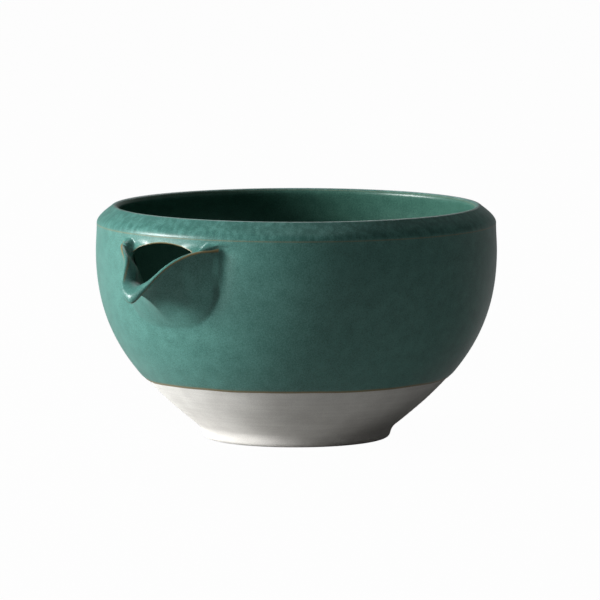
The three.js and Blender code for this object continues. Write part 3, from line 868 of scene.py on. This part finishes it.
finish_material(
    glaze, glazed,
    # inside the bowl the green is darkened, as painted shade
    colour=worn.mix(inside_coat.mix(green, green.times(*INSIDE_PAINTED_SHADE)), BROWN),
    roughness=grain.ramp(0.3, 0.7, 0.29, 0.38),
    normal=place.bump(0.24, grain + cloud * 0.5),
    IOR=1.45)

# %% [markdown]
# ## Bare stoneware
# The unglazed foot is a pale, dry clay with fine grog, clouded by the kiln and ringed by the
# turning tool. It has no gloss, so noise in its colour and a low bump are all it needs. The
# tool's rings are noise that is stretched round the axis.

# %% Bare clay material
CLAY_SHADE, CLAY_PALE = linear(212, 209, 204), linear(240, 238, 233)
stoneware, place = new_material("bare_stoneware")
fleck = place.noise(3200)
cloud = place.noise(120, 3.0)
tooling = place.times(0.04, 0.04, 1).noise(1500)
tone = fleck * 0.4 + cloud * 0.4 + tooling * 0.2
finish_material(
    stoneware, clay,
    colour=tone.ramp(0.3, 0.7).mix(CLAY_SHADE, CLAY_PALE),
    roughness=fleck.ramp(0.3, 0.7, 0.82, 0.95),
    normal=place.bump(0.25, fleck * 0.6 + tooling * 0.6))

# %% [markdown]
# ## Standing in for the CAD nodes
# The skin stands for both coats and the spout, and the bare clay for the thrown bowl. Nothing on
# a bowl moves, so both ride on the one body.

# %% Ride and replace
for piece, nodes, slot in ((glazed, ("outer_glaze", "inner_glaze", "spout"), "glaze_outside"),
                           (clay, ("bowl_body",), "clay")):
    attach(piece, "root")
    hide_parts(*nodes)

# %% [markdown]
# ## Table, light and camera
# The bowl stands on a wide pale table in a white surround. One soft lamp at the left, a little
# above the bowl, does most of the work, because a low window gives the long fall from light to
# shade across the belly. A weak lamp overhead and one behind only lift the rim and the edges. The
# camera stands far off with a long lens, a little above the rim, and looks past the spout.

# %% Table
TABLE_SIZE = 12          # metres, far past the picture's edges
TABLE_COLOUR = (0.38, 0.38, 0.375, 1)
bpy.ops.mesh.primitive_grid_add(x_subdivisions=8, y_subdivisions=8, size=TABLE_SIZE)
table = bpy.context.object
table.name = "table"
paper, place = new_material("pale_table")
paper_shader = paper.node_tree.nodes["Principled BSDF"]
paper_shader.inputs["Base Color"].default_value = TABLE_COLOUR
paper_shader.inputs["Roughness"].default_value = 0.9
camera_ray = place.node("ShaderNodeLightPath", {}, out=0)
glossy_ray = place.node("ShaderNodeLightPath", {}, out=3)
white = place.node("ShaderNodeEmission", {"Color": (1, 1, 1, 1), "Strength": 1.0})
# To the camera the table is nearly white, and a little of its own shade keeps the bowl's shadow.
lifted = place.node("ShaderNodeMixShader", {
    0: camera_ray * 0.98 + glossy_ray * 0.1, 1: Wire(paper.node_tree, paper_shader.outputs[0]), 2: white})
paper.node_tree.links.new(lifted.socket, paper.node_tree.nodes["Material Output"].inputs["Surface"])
table.data.materials.append(paper)
print("table:", TABLE_SIZE, "metres wide")

# %% Surround
SKY_FILL = 0.07          # what the surround adds to the light
HORIZON_GLOSS = 0.15     # strength of the pale band at eye level that the glaze mirrors
HORIZON_HEIGHT = 0.09    # square of the sine of the angle at which that band ends
world = bpy.data.worlds.new("white_surround")
world.use_nodes = True
bpy.context.scene.world = world
backdrop = world.node_tree.nodes["Background"]
sky = Wire(world.node_tree)
camera_ray = sky.node("ShaderNodeLightPath", {}, out=0)
glossy_ray = sky.node("ShaderNodeLightPath", {}, out=3)
direction = sky.node("ShaderNodeTexCoord", {}, out=0)
steep = sky.node("ShaderNodeSeparateXYZ", {0: direction}, out=2)
horizon = 1 - (steep * steep).ramp(0.0, HORIZON_HEIGHT)
strength = camera_ray * 0.99 + glossy_ray * (horizon * HORIZON_GLOSS) + SKY_FILL
world.node_tree.links.new(strength.socket, backdrop.inputs["Strength"])
backdrop.inputs["Color"].default_value = (1, 1, 1, 1)
print("surround:", len(world.node_tree.nodes), "nodes")

# %% Lamps
CAMERA_AZIMUTH = 40.2    # degrees from the spout round to the camera
TARGET = Vector((0, AXIS_Y, 40)) * MM


def level_way(degrees):
    """A level direction, in degrees from the spout towards the camera's side."""
    return Vector((math.sin(math.radians(degrees)), -math.cos(math.radians(degrees)), 0))


def soft_lamp(name, bearing, rise, distance, size, power):
    """An area lamp aimed at the bowl; bearing is in degrees left of the camera."""
    up, level = math.sin(math.radians(rise)), math.cos(math.radians(rise))
    light = bpy.data.lights.new(name, "AREA")
    light.shape, light.energy = "RECTANGLE", power
    light.size, light.size_y = size
    lamp = bpy.data.objects.new(name, light)
    lamp.location = TARGET + distance * (level * level_way(CAMERA_AZIMUTH - bearing) + Vector((0, 0, up)))
    lamp.rotation_euler = (TARGET - lamp.location).to_track_quat("-Z", "Y").to_euler()
    bpy.context.scene.collection.objects.link(lamp)
    print(f"{name}: {power} W at {distance} m")


soft_lamp("window", bearing=82, rise=13.5, distance=1.2, size=(0.55, 0.42), power=25)
soft_lamp("overhead", bearing=0, rise=80, distance=1.4, size=(0.8, 0.8), power=0.8)
soft_lamp("back_card", bearing=180, rise=40, distance=1.4, size=(0.8, 0.8), power=3.5)

# %% Camera
CAMERA_AWAY = 2.2        # metres from the bowl's axis
CAMERA_HIGH = 0.2779
CAMERA_RIGHT = 0.0011    # it looks past the axis by this much
PITCH = 6.11             # degrees down
LENS_PX = 7173.6         # focal length in pixels of a 600 pixel frame
FRAME_PX = 600
lens = bpy.data.cameras.new("long_lens")
lens.sensor_width = 36
lens.lens = LENS_PX * lens.sensor_width / FRAME_PX
lens.clip_end = 60
camera = bpy.data.objects.new("camera", lens)
camera.location = (Vector((0, AXIS_Y * MM, CAMERA_HIGH)) + CAMERA_AWAY * level_way(CAMERA_AZIMUTH)
                   + CAMERA_RIGHT * level_way(CAMERA_AZIMUTH + 90))
camera.rotation_euler = (math.radians(90 - PITCH), 0, math.radians(CAMERA_AZIMUTH))
bpy.context.scene.collection.objects.link(camera)
bpy.context.scene.camera = camera
bpy.context.scene.view_settings.view_transform = "Standard"
print(f"lens of {lens.lens:.0f} mm, {CAMERA_AWAY} m away")
